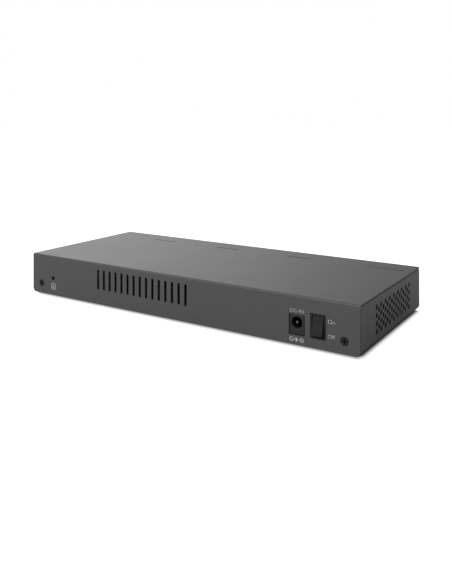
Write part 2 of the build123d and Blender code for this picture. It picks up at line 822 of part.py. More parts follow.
with BuildPart() as power_rocker:
    outline = [
        (rocker_half, rocker_tip),
        (0, rocker_rise),
        (-rocker_half, rocker_tip),
        (-rocker_foot, rocker_shoulder),
        (-rocker_root_half, -rocker_root),
        (rocker_root_half, -rocker_root),
        (rocker_foot, rocker_shoulder),
    ]
    with BuildSketch(switch_plane):
        with BuildLine():
            Polyline(
                *[switch_point(*turned(up, out, rocker_swing)) for up, out in outline],
                close=True,
            )
        make_face()
    extrude(amount=rocker_half_width, both=True)
    for up, out in (outline[0], outline[2]):
        tip_y, tip_z = switch_point(*turned(up, out, rocker_swing))
        fillet(
            power_rocker.edges().filter_by(Axis.X).sort_by_distance((-switch_x, tip_y, tip_z))[0],
            rocker_edge,
        )
    with BuildSketch(switch_plane):
        with Locations(switch_point(0, 0)):
            Circle(rocker_pin_radius)
    extrude(amount=rocker_half_width + rocker_pin_length, both=True)
    with BuildSketch(plunger_plane):
        Circle(plunger_radius + plunger_gap)
    extrude(amount=-(plunger_reach - plunger_seat), mode=Mode.SUBTRACT)
power_rocker.part.label = "power_rocker"
export_step(power_rocker.part, "parts/power_rocker.step")

with BuildPart() as rocker_plunger:
    with BuildSketch(plunger_plane):
        Circle(plunger_radius)
    extrude(amount=-(plunger_reach - plunger_seat))
    tip_y, tip_z = switch_point(*turned(0, -plunger_reach, rocker_swing))
    tip_face = rocker_plunger.faces().sort_by_distance((-switch_x, tip_y, tip_z))[0]
    fillet(tip_face.edges(), plunger_radius / 2)
rocker_plunger.part.label = "rocker_plunger"
export_step(rocker_plunger.part, "parts/rocker_plunger.step")

# The see-saw contact tilts against the rocker, about the top of the middle terminal
with BuildPart() as switch_contact:
    corners = [
        turned(along * contact_length / 2, across * contact_thickness / 2, -contact_tilt)
        for along, across in ((1, 1), (-1, 1), (-1, -1), (1, -1))
    ]
    with BuildSketch(switch_plane):
        with BuildLine():
            Polyline(*[switch_point(up, out - contact_plane) for up, out in corners], close=True)
        make_face()
        with Locations(switch_point(0, -contact_plane)):
            Circle(contact_pivot_radius)
    extrude(amount=contact_width / 2, both=True)
switch_contact.part.label = "switch_contact"
export_step(switch_contact.part, "parts/switch_contact.step")

with BuildPart() as switch_terminals:
    with BuildSketch(switch_plane):
        for (up, depth), leg_y in zip(terminal_tops, terminal_legs):
            top_y, top_z = switch_point(up, -depth)
            with BuildLine():
                Polyline((top_y, top_z), (leg_y, top_z), (leg_y, leg_end))
            trace(line_width=terminal_thickness)
            with Locations((leg_y, top_z)):
                Circle(terminal_thickness / 2)
    extrude(amount=terminal_width / 2, both=True)
switch_terminals.part.label = "switch_terminals"
export_step(switch_terminals.part, "parts/switch_terminals.step")

# Mode slide switch behind the front wall
mode_inner_width = mode_width - 2 * mode_can
knob_x = mode_x - mode_travel / 2

with BuildPart() as mode_switch_can:
    with Locations((mode_x, mode_front + mode_depth / 2, board_top)):
        Box(mode_width, mode_depth, mode_height, align=on_top)
    with Locations((mode_x, mode_front + mode_can + mode_depth / 2, board_top)):
        Box(
            mode_inner_width, mode_depth, mode_height - mode_can, align=on_top, mode=Mode.SUBTRACT
        )
    with BuildSketch(front_plane):
        with Locations((mode_x, mode_z)):
            Rectangle(knob_width + mode_travel + 2 * mode_stop_gap, knob_height + mode_stop_gap)
    extrude(amount=-(mode_front + mode_can - front_face), mode=Mode.SUBTRACT)
mode_switch_can.part.label = "mode_switch_can"
export_step(mode_switch_can.part, "parts/mode_switch_can.step")

with BuildPart() as mode_switch_base:
    with Locations((mode_x, base_front + base_depth / 2, board_top)):
        Box(
            mode_inner_width - 2 * mode_slide_gap,
            base_depth,
            mode_height - mode_can - mode_slide_gap,
            align=on_top,
        )
mode_switch_base.part.label = "mode_switch_base"
export_step(mode_switch_base.part, "parts/mode_switch_base.step")

with BuildPart() as mode_switch_pins:
    with Locations((mode_x, mode_pin_y, leg_end)):
        with GridLocations(mode_pin_pitch, 1, 3, 1):
            Cylinder(mode_pin_radius, board_top - leg_end, align=on_top)
mode_switch_pins.part.label = "mode_switch_pins"
export_step(mode_switch_pins.part, "parts/mode_switch_pins.step")

with BuildPart() as mode_slider:
    block_width_x = mode_inner_width - mode_travel - 2 * mode_stop_gap
    slider_front = mode_front + mode_can + mode_slide_gap
    with Locations((knob_x, slider_front + slider_depth / 2, board_top + slider_lift)):
        Box(
            block_width_x,
            slider_depth,
            slider_height,
            align=on_top,
        )
    with BuildSketch(front_plane.offset(knob_proud)):
        with Locations((knob_x, mode_z)):
            Rectangle(knob_width, knob_height)
    extrude(amount=-(slider_front + slider_depth / 2 - front_face + knob_proud))
    fillet(mode_slider.faces().sort_by(Axis.Y)[0].edges(), knob_edge)
mode_slider.part.label = "mode_slider"
export_step(mode_slider.part, "parts/mode_slider.step")

# Status lamps: LEDs on the board under a clear guide with a round nose for each
with BuildPart() as status_light_guide:
    guide_length = status_spots[-1] - status_spots[0] + 2 * guide_margin
    guide_height = underside + status_height + guide_radius - board_top
    with Locations((status_x, guide_y, board_top)):
        Box(guide_length, guide_thickness, guide_height, align=on_top)
        Box(
            guide_length - 2 * guide_leg,
            guide_thickness,
            guide_pocket_height,
            align=on_top,
            mode=Mode.SUBTRACT,
        )
    with BuildSketch(front_plane.offset(guide_proud)):
        with Locations([(x, underside + status_height) for x in status_spots]):
            Circle(guide_radius)
    extrude(amount=-(guide_y - front_face + guide_proud))
    fillet(status_light_guide.edges().group_by(Axis.Y)[0], guide_edge)
status_light_guide.part.label = "status_light_guide"
export_step(status_light_guide.part, "parts/status_light_guide.step")

with BuildPart() as status_leds:
    with Locations([(x, guide_y, board_top) for x in status_spots]):
        Box(led_length, led_width, led_height, align=on_top)
status_leds.part.label = "status_leds"
export_step(status_leds.part, "parts/status_leds.step")

# Socket blocks
lamp_z = port_roof + lamp_rise + lamp_height / 2
wire_z = port_roof - wire_roof_gap - wire_size / 2
wire_leg_y = block_front + block_depth + wire_back_gap
wire_span = (wire_count - 1) * wire_pitch + wire_size

for side, centre in block_centres:
    block_plane = Plane(origin=(centre, block_front, 0), x_dir=(1, 0, 0), z_dir=(0, -1, 0))
    lamp_spots = [(x + spread, lamp_z) for x in port_spots for spread in (-lamp_spread, lamp_spread)]

    with BuildPart() as port_housing:
        with Locations((centre, block_front + block_depth / 2, board_top)):
            Box(block_width, block_depth, block_height, align=on_top)
        with BuildSketch(block_plane):
            with Locations([(x, 0) for x in port_spots]):
                add(port_outline(0))
        extrude(amount=-port_depth, mode=Mode.SUBTRACT)
        with BuildSketch(block_plane):
            with Locations(lamp_spots):
                Rectangle(lamp_width + 2 * lamp_gap, lamp_height + 2 * lamp_gap)
        extrude(amount=-(lamp_depth - shield_thickness + lamp_gap), mode=Mode.SUBTRACT)
        with BuildSketch(block_plane):
            with Locations([(x, wire_z) for x in port_spots]):
                Rectangle(wire_span + 2 * wire_slot_gap, wire_size + 2 * wire_slot_gap)
        extrude(amount=-block_depth, mode=Mode.SUBTRACT)
    port_housing.part.label = f"port_housing_{side}"
    export_step(port_housing.part, f"parts/port_housing_{side}.step")

    with BuildPart() as port_shield:
        with Locations((centre, shield_front + shield_depth / 2, board_top)):
            Box(shield_width, shield_depth, shield_top - board_top, align=on_top)
            Box(
                shield_width - 2 * shield_thickness,
                shield_depth - 2 * shield_thickness,
                shield_top - board_top - shield_thickness,
                align=on_top,
                mode=Mode.SUBTRACT,
            )
        with BuildSketch(block_plane.offset(shield_thickness)):
            with Locations([(x, 0) for x in port_spots]):
                add(port_outline(port_rim))
            with Locations(lamp_spots):
                Rectangle(lamp_width + 2 * lamp_gap, lamp_height + 2 * lamp_gap)
        extrude(amount=-2 * shield_thickness, mode=Mode.SUBTRACT)
    port_shield.part.label = f"port_shield_{side}"
    export_step(port_shield.part, f"parts/port_shield_{side}.step")

    with BuildPart() as port_wires:
        wire_planes = [
            Plane.YZ.offset(centre + x + wire_pitch * (n - (wire_count - 1) / 2) - wire_size / 2)
            for x in port_spots
            for n in range(wire_count)
        ]
        with BuildSketch(*wire_planes):
            with BuildLine():
                Polyline(
                    (wire_leg_y, board_top),
                    (wire_leg_y, wire_z),
                    (block_front + wire_front, wire_z),
                    (block_front + wire_front + wire_fold_length, wire_z - wire_fold_drop),
                )
            trace(line_width=wire_size)
            with Locations((wire_leg_y, wire_z), (block_front + wire_front, wire_z)):
                Circle(wire_size / 2)
        extrude(amount=wire_size)
    port_wires.part.label = f"port_wires_{side}"
    export_step(port_wires.part, f"parts/port_wires_{side}.step")

for colour, spread in (("green", -lamp_spread), ("amber", lamp_spread)):
    with BuildPart() as port_lamps:
        with Locations([
            (centre + x + spread, shield_front + lamp_depth / 2, lamp_z)
            for side, centre in block_centres
            for x in port_spots
        ]):
            Box(lamp_width, lamp_depth, lamp_height)
    port_lamps.part.label = f"{colour}_port_lamps"
    export_step(port_lamps.part, f"parts/{colour}_port_lamps.step")

# Parts on the board
with BuildPart() as switch_chip:
    with Locations((*chip_spot, board_top)):
        Box(*chip_size, align=on_top)
    for turn in (0, 90):
        with Locations(Location((*chip_spot, board_top), (0, 0, turn))):
            with GridLocations(chip_leg_pitch, 1, chip_leg_count, 1):
                Box(
                    chip_leg_width,
                    chip_size[0] + 2 * chip_leg_length,
                    chip_leg_height,
                    align=on_top,
                )
switch_chip.part.label = "switch_chip"
export_step(switch_chip.part, "parts/switch_chip.step")

with BuildPart() as thermal_pad:
    with Locations((*chip_spot, board_top + chip_size[2])):
        Box(*pad_size, align=on_top)
thermal_pad.part.label = "thermal_pad"
export_step(thermal_pad.part, "parts/thermal_pad.step")

with BuildPart() as heat_sink:
    with Locations((*chip_spot, board_top + chip_size[2] + pad_size[2])):
        Box(*sink_size, sink_base, align=on_top)
        fin_pitch = (sink_size[0] - fin_thickness) / (fin_count - 1)
        with GridLocations(fin_pitch, 1, fin_count, 1):
            Box(fin_thickness, sink_size[1], sink_height, align=on_top)
heat_sink.part.label = "heat_sink"
export_step(heat_sink.part, "parts/heat_sink.step")

with BuildPart() as lan_transformers:
    transformer_y = shield_front + shield_depth + transformer_gap + transformer_size[1] / 2
    with Locations([
        (centre + x, transformer_y, board_top) for side, centre in block_centres for x in port_spots
    ]):
        Box(*transformer_size, align=on_top)
lan_transformers.part.label = "lan_transformers"
export_step(lan_transformers.part, "parts/lan_transformers.step")

with BuildPart() as bulk_capacitors:
    with BuildSketch(Plane.XY.offset(board_top)):
        with Locations(capacitor_spots):
            Circle(capacitor_radius)
    extrude(amount=capacitor_height)
    with Locations([(x, y, board_top + capacitor_groove_height) for x, y in capacitor_spots]):
        Torus(capacitor_radius, capacitor_groove, mode=Mode.SUBTRACT)
    fillet(bulk_capacitors.edges().group_by(Axis.Z)[-1], capacitor_groove)
bulk_capacitors.part.label = "bulk_capacitors"
export_step(bulk_capacitors.part, "parts/bulk_capacitors.step")

with BuildPart() as power_inductors:
    with Locations([(x, y, board_top) for x, y in inductor_spots]):
        Box(*inductor_size, align=on_top)
    chamfer(power_inductors.edges().filter_by(Axis.Z), inductor_edge)
power_inductors.part.label = "power_inductors"
export_step(power_inductors.part, "parts/power_inductors.step")

with BuildPart() as crystal:
    with Locations((*crystal_spot, board_top)):
        Box(*crystal_size, align=on_top)
    fillet(crystal.edges().filter_by(Axis.Z), crystal_edge)
crystal.part.label = "crystal"
export_step(crystal.part, "parts/crystal.step")

with BuildPart() as ceramic_capacitors:
    with Locations((*ceramic_spot, board_top)):
        with GridLocations(ceramic_pitch, ceramic_pitch, ceramic_columns, ceramic_rows):
            Box(*ceramic_size, align=on_top)
ceramic_capacitors.part.label = "ceramic_capacitors"
export_step(ceramic_capacitors.part, "parts/ceramic_capacitors.step")

# Plain packages
for name, size, spots in (
    ("poe_chips", poe_chip_size, poe_chip_spots),
    ("power_transistors", transistor_size, transistor_spots),
    ("input_fuse", fuse_size, (fuse_spot,)),
    ("memory_chip", memory_size, (memory_spot,)),
):
    with BuildPart() as package:
        with Locations([(x, y, board_top) for x, y in spots]):
            Box(*size, align=on_top)
    package.part.label = name
    export_step(package.part, f"parts/{name}.step")
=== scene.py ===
import json
import math

import bpy
import numpy as np
from mathutils import Matrix, Vector


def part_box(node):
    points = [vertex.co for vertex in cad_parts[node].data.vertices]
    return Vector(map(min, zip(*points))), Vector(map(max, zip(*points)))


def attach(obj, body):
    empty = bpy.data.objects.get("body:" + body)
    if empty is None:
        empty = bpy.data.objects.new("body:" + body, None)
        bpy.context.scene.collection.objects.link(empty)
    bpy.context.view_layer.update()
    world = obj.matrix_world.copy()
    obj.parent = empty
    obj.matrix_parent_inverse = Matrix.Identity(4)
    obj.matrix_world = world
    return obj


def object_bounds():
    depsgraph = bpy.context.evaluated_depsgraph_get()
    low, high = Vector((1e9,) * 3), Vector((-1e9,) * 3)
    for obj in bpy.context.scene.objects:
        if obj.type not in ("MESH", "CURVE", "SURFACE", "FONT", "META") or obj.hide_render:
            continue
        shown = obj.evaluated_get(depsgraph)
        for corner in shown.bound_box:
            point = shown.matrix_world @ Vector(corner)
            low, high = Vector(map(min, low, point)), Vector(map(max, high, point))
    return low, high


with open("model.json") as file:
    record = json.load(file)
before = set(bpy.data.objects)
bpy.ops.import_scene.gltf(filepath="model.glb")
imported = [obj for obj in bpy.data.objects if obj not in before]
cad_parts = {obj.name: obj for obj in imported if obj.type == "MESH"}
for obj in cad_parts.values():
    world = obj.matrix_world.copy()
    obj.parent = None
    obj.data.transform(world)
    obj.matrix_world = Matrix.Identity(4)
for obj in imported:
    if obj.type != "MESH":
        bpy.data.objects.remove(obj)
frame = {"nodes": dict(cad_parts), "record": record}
frameBounds = [list(corner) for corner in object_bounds()]

# Desktop network switch in a folded steel case, in metres.
# +X is to the right seen from the front, +Y points to the rear and +Z up.
mm = 0.001
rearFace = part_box("top_cover")[1].y
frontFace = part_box("base_chassis")[0].y
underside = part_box("base_chassis")[0].z
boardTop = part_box("main_board")[1].z

# behind the case and level with the floor, its frame shifted down
camera = {
    "place": (-0.24298, 0.36836, 0.12271),
    "turn": 212.635,  # degrees about Z
    "lens": 40.855,
    "sensor": 36.0,
    "shiftUp": -0.2992,
    "near": 0.01,
}


def addCamera(spec):
    data = bpy.data.cameras.new("Camera")
    data.lens = spec["lens"]
    data.sensor_width = spec["sensor"]
    data.shift_y = spec["shiftUp"]
    data.clip_start = spec["near"]
    holder = bpy.data.objects.new("Camera", data)
    holder.location = spec["place"]
    holder.rotation_euler = (math.radians(90), 0, math.radians(spec["turn"]))
    bpy.context.scene.collection.objects.link(holder)
    bpy.context.scene.camera = holder


addCamera(camera)
print("camera placed")


def addNode(tree, kind, settings=None, **inputs):
    # adds a node, sets its options, and fills or links its inputs; i0 is the first input and so on
    node = tree.nodes.new("ShaderNode" + kind)
    for key, value in (settings or {}).items():
        setattr(node, key, value)
    for key, value in inputs.items():
        socket = node.inputs[int(key[1:]) if key[1:].isdigit() else key]
        if isinstance(value, bpy.types.NodeSocket):
            tree.links.new(value, socket)
        else:
            socket.default_value = value
    return node


def addMath(tree, operation, first, second, clamp=False):
    settings = {"operation": operation, "use_clamp": clamp}
    return addNode(tree, "Math", settings, i0=first, i1=second).outputs[0]


def multiplyAdd(tree, first, second, third):
    settings = {"operation": "MULTIPLY_ADD"}
    return addNode(tree, "Math", settings, i0=first, i1=second, i2=third).outputs[0]


def spreadValue(tree, value, fromLow, fromHigh, toLow=0.0, toHigh=1.0):
    return addNode(
        tree, "MapRange", i0=value, i1=fromLow, i2=fromHigh, i3=toLow, i4=toHigh
    ).outputs[0]


def mixColour(tree, mask, first, second):
    # first where the mask is 0, second where it is 1; each is a colour or a socket
    mix = addNode(tree, "Mix", {"data_type": "RGBA"}, i0=mask)
    for socket, colour in ((mix.inputs[6], first), (mix.inputs[7], second)):
        if isinstance(colour, bpy.types.NodeSocket):
            tree.links.new(colour, socket)
        else:
            socket.default_value = (*colour, 1)
    return mix.outputs[2]


def newGroup(name, inputs, outputs):
    group = bpy.data.node_groups.new(name, "ShaderNodeTree")
    for label, value in inputs.items():
        socket = group.interface.new_socket(label, in_out="INPUT", socket_type="NodeSocketFloat")
        socket.default_value = value
    for label in outputs:
        kind = "NodeSocketVector" if label == "Normal" else "NodeSocketFloat"
        group.interface.new_socket(label, in_out="OUTPUT", socket_type=kind)
    given = group.nodes.new("NodeGroupInput").outputs
    result = group.nodes.new("NodeGroupOutput").inputs
    return group, given, result


def buildGrainGroup():
    # height of a fine random grain, from 0 to 1
    group, given, result = newGroup("surfaceGrain", {"Scale": 2000.0}, ["Height"])
    spot = addNode(group, "TexCoord").outputs["Object"]
    noise = addNode(group, "TexNoise", i0=spot, Scale=given["Scale"], Detail=3.0)
    group.links.new(noise.outputs["Fac"], result["Height"])
    return group


patchSpread = (0.3, 0.7)  # the noise seldom goes further


def buildPatchGroup():
    # slow uneven patches, spread between Low and High
    inputs = {"Scale": 30.0, "Low": 0.0, "High": 1.0}
    group, given, result = newGroup("softPatches", inputs, ["Value"])
    spot = addNode(group, "TexCoord").outputs["Object"]
    noise = addNode(group, "TexNoise", i0=spot, Scale=given["Scale"], Detail=4.0).outputs["Fac"]
    spread = spreadValue(group, noise, *patchSpread, given["Low"], given["High"])
    group.links.new(spread, result["Value"])
    return group


edgeShape = {
    "lean": (0.98, 0.75),  # cosine between the two normals where wear starts and is full
    "breakScale": 700.0,
    "breakSpread": (0.35, 0.6, 0.3),  # where the noise starts and is full, and the least wear left
}


def buildEdgeGroup():
    # Mask is 1 on outer edges and 0 on flats: how far a rounded normal leans from the real one,
    # broken up by a noise so that the wear isn't even. Normal is the rounded normal.
    inputs = {"Radius": 0.2 * mm, "Amount": 1.0}
    group, given, result = newGroup("edgeWear", inputs, ["Mask", "Normal"])
    rounded = addNode(group, "Bevel", {"samples": 4}, Radius=given["Radius"]).outputs["Normal"]
    straight = addNode(group, "NewGeometry").outputs["Normal"]
    lean = addNode(group, "VectorMath", {"operation": "DOT_PRODUCT"}, i0=rounded, i1=straight)
    edge = spreadValue(group, lean.outputs["Value"], *edgeShape["lean"])
    spot = addNode(group, "TexCoord").outputs["Object"]
    noise = addNode(group, "TexNoise", i0=spot, Scale=edgeShape["breakScale"], Detail=3.0)
    broken = spreadValue(group, noise.outputs["Fac"], *edgeShape["breakSpread"])
    wearAndHighlight = addMath(group, "MULTIPLY", edge, broken)
    group.links.new(addMath(group, "MULTIPLY", wearAndHighlight, given["Amount"], True), result["Mask"])
    group.links.new(rounded, result["Normal"])
    return group


seamSpread = (0.85, 0.25)  # share of open sky where a seam starts and is full


def buildSeamGroup():
    # mask for painted shade: 1 deep in a seam or corner and 0 in the open, from how much of the
    # sky is shut out nearby
    group, given, result = newGroup("seamShade", {"Reach": 1.0 * mm, "Amount": 1.0}, ["Mask"])
    clear = addNode(group, "AmbientOcclusion", {"samples": 8}, Distance=given["Reach"])
    shut = spreadValue(group, clear.outputs["AO"], *seamSpread)
    group.links.new(addMath(group, "MULTIPLY", shut, given["Amount"], True), result["Mask"])
    return group


def buildLineGroup():
    # height of fine lines: a noise squeezed by X, Y and Z
    inputs = {"X": 40.0, "Y": 4000.0, "Z": 4000.0}
    group, given, result = newGroup("drawnLines", inputs, ["Height"])
    spot = addNode(group, "TexCoord").outputs["Object"]
    squeeze = addNode(group, "CombineXYZ", X=given["X"], Y=given["Y"], Z=given["Z"]).outputs[0]
    squeezed = addNode(group, "VectorMath", {"operation": "MULTIPLY"}, i0=spot, i1=squeeze)
    noise = addNode(group, "TexNoise", i0=squeezed.outputs[0], Scale=1.0, Detail=2.0)
    group.links.new(noise.outputs["Fac"], result["Height"])
    return group


grainGroup = buildGrainGroup()
patchGroup = buildPatchGroup()
edgeGroup = buildEdgeGroup()
seamShadeGroup = buildSeamGroup()
lineGroup = buildLineGroup()


def useGroup(tree, group, **inputs):
    node = tree.nodes.new("ShaderNodeGroup")
    node.node_tree = group
    for key, value in inputs.items():
        node.inputs[key].default_value = value
    return node.outputs


def newFinish(name, **sockets):
    # a material with its Principled shader's own sockets set
    material = bpy.data.materials.new(name)
    material.use_nodes = True
    shader = material.node_tree.nodes["Principled BSDF"]
    for key, value in sockets.items():
        socket = shader.inputs[key.replace("_", " ")]
        socket.default_value = (*value, 1) if isinstance(value, tuple) else value
    return material, material.node_tree, shader


print("shader groups ready")

# colour, patch and edge are the plain, uneven and worn colours; grain and lines are each a scale
# and a depth, and lines take the grain's place; seam is how strongly painted shade darkens the
# corners
plainFinish = {
    "patch": None,
    "edge": None,
    "patchTint": 1.12,  # of the colour, where no patch colour is given
    "edgeTint": 1.35,  # of the colour, where no edge colour is given
    # painted shade deep in a seam, as a share of the colour
    "seamShadeTint": 0.12,
    "metal": 0.0,
    "rough": 0.5,
    "shine": 0.5,
    "unevenness": 0.05,  # of the roughness, to each side
    "patchScale": 60.0,
    "glossScale": 2.3,  # of the patches' scale
    "edgeRadius": 0.15 * mm,
    "edgeAmount": 0.5,
    "seam": 0.6,
    "seamReach": 0.8 * mm,
    "seamDull": 0.4,  # added to the roughness in a seam
    "grain": (2500.0, 0.012 * mm),
    "lines": None,
    "relief": 0.6,  # strength of the grain or lines
}


def tint(colour, share):
    return tuple(share * value for value in colour)


def layeredFinish(name, **values):
    # patches, then painted shade in seams and corners, then worn edges over the plain colour
    spec = {**plainFinish, **values}
    colour, rough, swing = spec["colour"], spec["rough"], spec["unevenness"]
    patch = spec["patch"] or tint(colour, spec["patchTint"])
    edge = spec["edge"] or tint(colour, spec["edgeTint"])
    material, tree, shader = newFinish(
        name, Metallic=spec["metal"], Specular_IOR_Level=spec["shine"], Roughness=rough
    )
    patches = useGroup(tree, patchGroup, Scale=spec["patchScale"])["Value"]
    seamShadeMask = useGroup(tree, seamShadeGroup, Reach=spec["seamReach"], Amount=spec["seam"])["Mask"]
    edges = useGroup(tree, edgeGroup, Radius=spec["edgeRadius"], Amount=spec["edgeAmount"])
    paint = mixColour(tree, patches, colour, patch)
    shaded = mixColour(tree, seamShadeMask, paint, tint(colour, spec["seamShadeTint"]))
    tree.links.new(mixColour(tree, edges["Mask"], shaded, edge), shader.inputs["Base Color"])
    glossScale = spec["glossScale"] * spec["patchScale"]
    gloss = useGroup(tree, patchGroup, Scale=glossScale, Low=rough - swing, High=rough + swing)
    dull = multiplyAdd(tree, seamShadeMask, spec["seamDull"], gloss["Value"])
    tree.links.new(dull, shader.inputs["Roughness"])
    if spec["lines"]:
        (x, y, z), depth = spec["lines"]
        height = useGroup(tree, lineGroup, X=x, Y=y, Z=z)["Height"]
    else:
        scale, depth = spec["grain"]
        height = useGroup(tree, grainGroup, Scale=scale)["Height"]
    bump = addNode(tree, "Bump", Height=height, Distance=depth, Strength=spec["relief"])
    tree.links.new(edges["Normal"], bump.inputs["Normal"])
    tree.links.new(bump.outputs["Normal"], shader.inputs["Normal"])
    return material


boardFinish = {
    "copper": (0.007, 0.058, 0.023),  # mask over copper
    "bare": (0.0032, 0.031, 0.0125),  # mask over laminate
    "tin": (0.55, 0.55, 0.52),
    "shine": 0.02,
    "gloss": (180.0, 0.7, 0.85),  # scale of its patches, least and most roughness
    "tile": 3.0 * mm,  # blocks that the tracks run straight through
    "sorts": (0.35, 0.68),  # tracks along X below, plain copper above, tracks along Y between
    "pitch": 0.5 * mm,
    "copperShare": 0.5,  # of the pitch
    "viaSpacing": 2.6 * mm,
    "viaRadius": 0.1,  # of the spacing
    "relief": (0.03 * mm, 0.7),  # height of the copper and strength of the bump
}


def circuitBoardFinish(spec):
    # in each tile the tracks run along X, along Y, or there is one plain area of copper
    material, tree, shader = newFinish("solderMask", Specular_IOR_Level=spec["shine"])
    spot = addNode(tree, "TexCoord").outputs["Object"]
    size = (spec["tile"], spec["tile"], 1.0)
    tiles = addNode(tree, "VectorMath", {"operation": "SNAP"}, i0=spot, i1=size).outputs[0]
    settings = {"noise_dimensions": "3D"}
    choice = addNode(tree, "TexWhiteNoise", settings, Vector=tiles).outputs["Value"]
    axes = addNode(tree, "SeparateXYZ", i0=spot).outputs
    bands = []
    for axis in ("X", "Y"):
        turns = addMath(tree, "DIVIDE", axes[axis], spec["pitch"])
        part = addMath(tree, "FRACT", turns, 0.0)
        bands.append(addMath(tree, "LESS_THAN", part, spec["copperShare"]))
    below, above = spec["sorts"]
    lengthways = addMath(tree, "LESS_THAN", choice, below)
    plain = addMath(tree, "GREATER_THAN", choice, above)
    tracks = addNode(tree, "Mix", i0=lengthways, i2=bands[0], i3=bands[1]).outputs[0]
    raised = addMath(tree, "MAXIMUM", tracks, plain)
    cells = addNode(tree, "TexVoronoi", Vector=spot, Scale=1 / spec["viaSpacing"])
    vias = addMath(tree, "LESS_THAN", cells.outputs["Distance"], spec["viaRadius"])
    mask = mixColour(tree, raised, spec["bare"], spec["copper"])
    tree.links.new(mixColour(tree, vias, mask, spec["tin"]), shader.inputs["Base Color"])
    tree.links.new(vias, shader.inputs["Metallic"])
    scale, low, high = spec["gloss"]
    gloss = useGroup(tree, patchGroup, Scale=scale, Low=low, High=high)["Value"]
    tree.links.new(gloss, shader.inputs["Roughness"])
    depth, strength = spec["relief"]
    bump = addNode(tree, "Bump", Height=raised, Distance=depth, Strength=strength)
    tree.links.new(bump.outputs["Normal"], shader.inputs["Normal"])
    return material


acrylic = {
    "colour": (0.88, 0.91, 0.92),
    "clear": 0.85,
    "bend": 1.49,
    "rough": 0.12,
    "grain": (900.0, 0.01 * mm, 0.4),  # scale, depth and strength
}


def clearAcrylic(spec):
    material, tree, shader = newFinish(
        "clearAcrylic", Base_Color=spec["colour"], Transmission_Weight=spec["clear"],
        IOR=spec["bend"], Roughness=spec["rough"],
    )
    scale, depth, strength = spec["grain"]
    height = useGroup(tree, grainGroup, Scale=scale)["Height"]
    bump = addNode(tree, "Bump", Height=height, Distance=depth, Strength=strength)
    tree.links.new(bump.outputs["Normal"], shader.inputs["Normal"])
    return material


# squeezes for lines drawn along each axis
alongX = (60.0, 3500.0, 3500.0)
alongY = (3500.0, 60.0, 3500.0)
alongZ = (3500.0, 3500.0, 60.0)
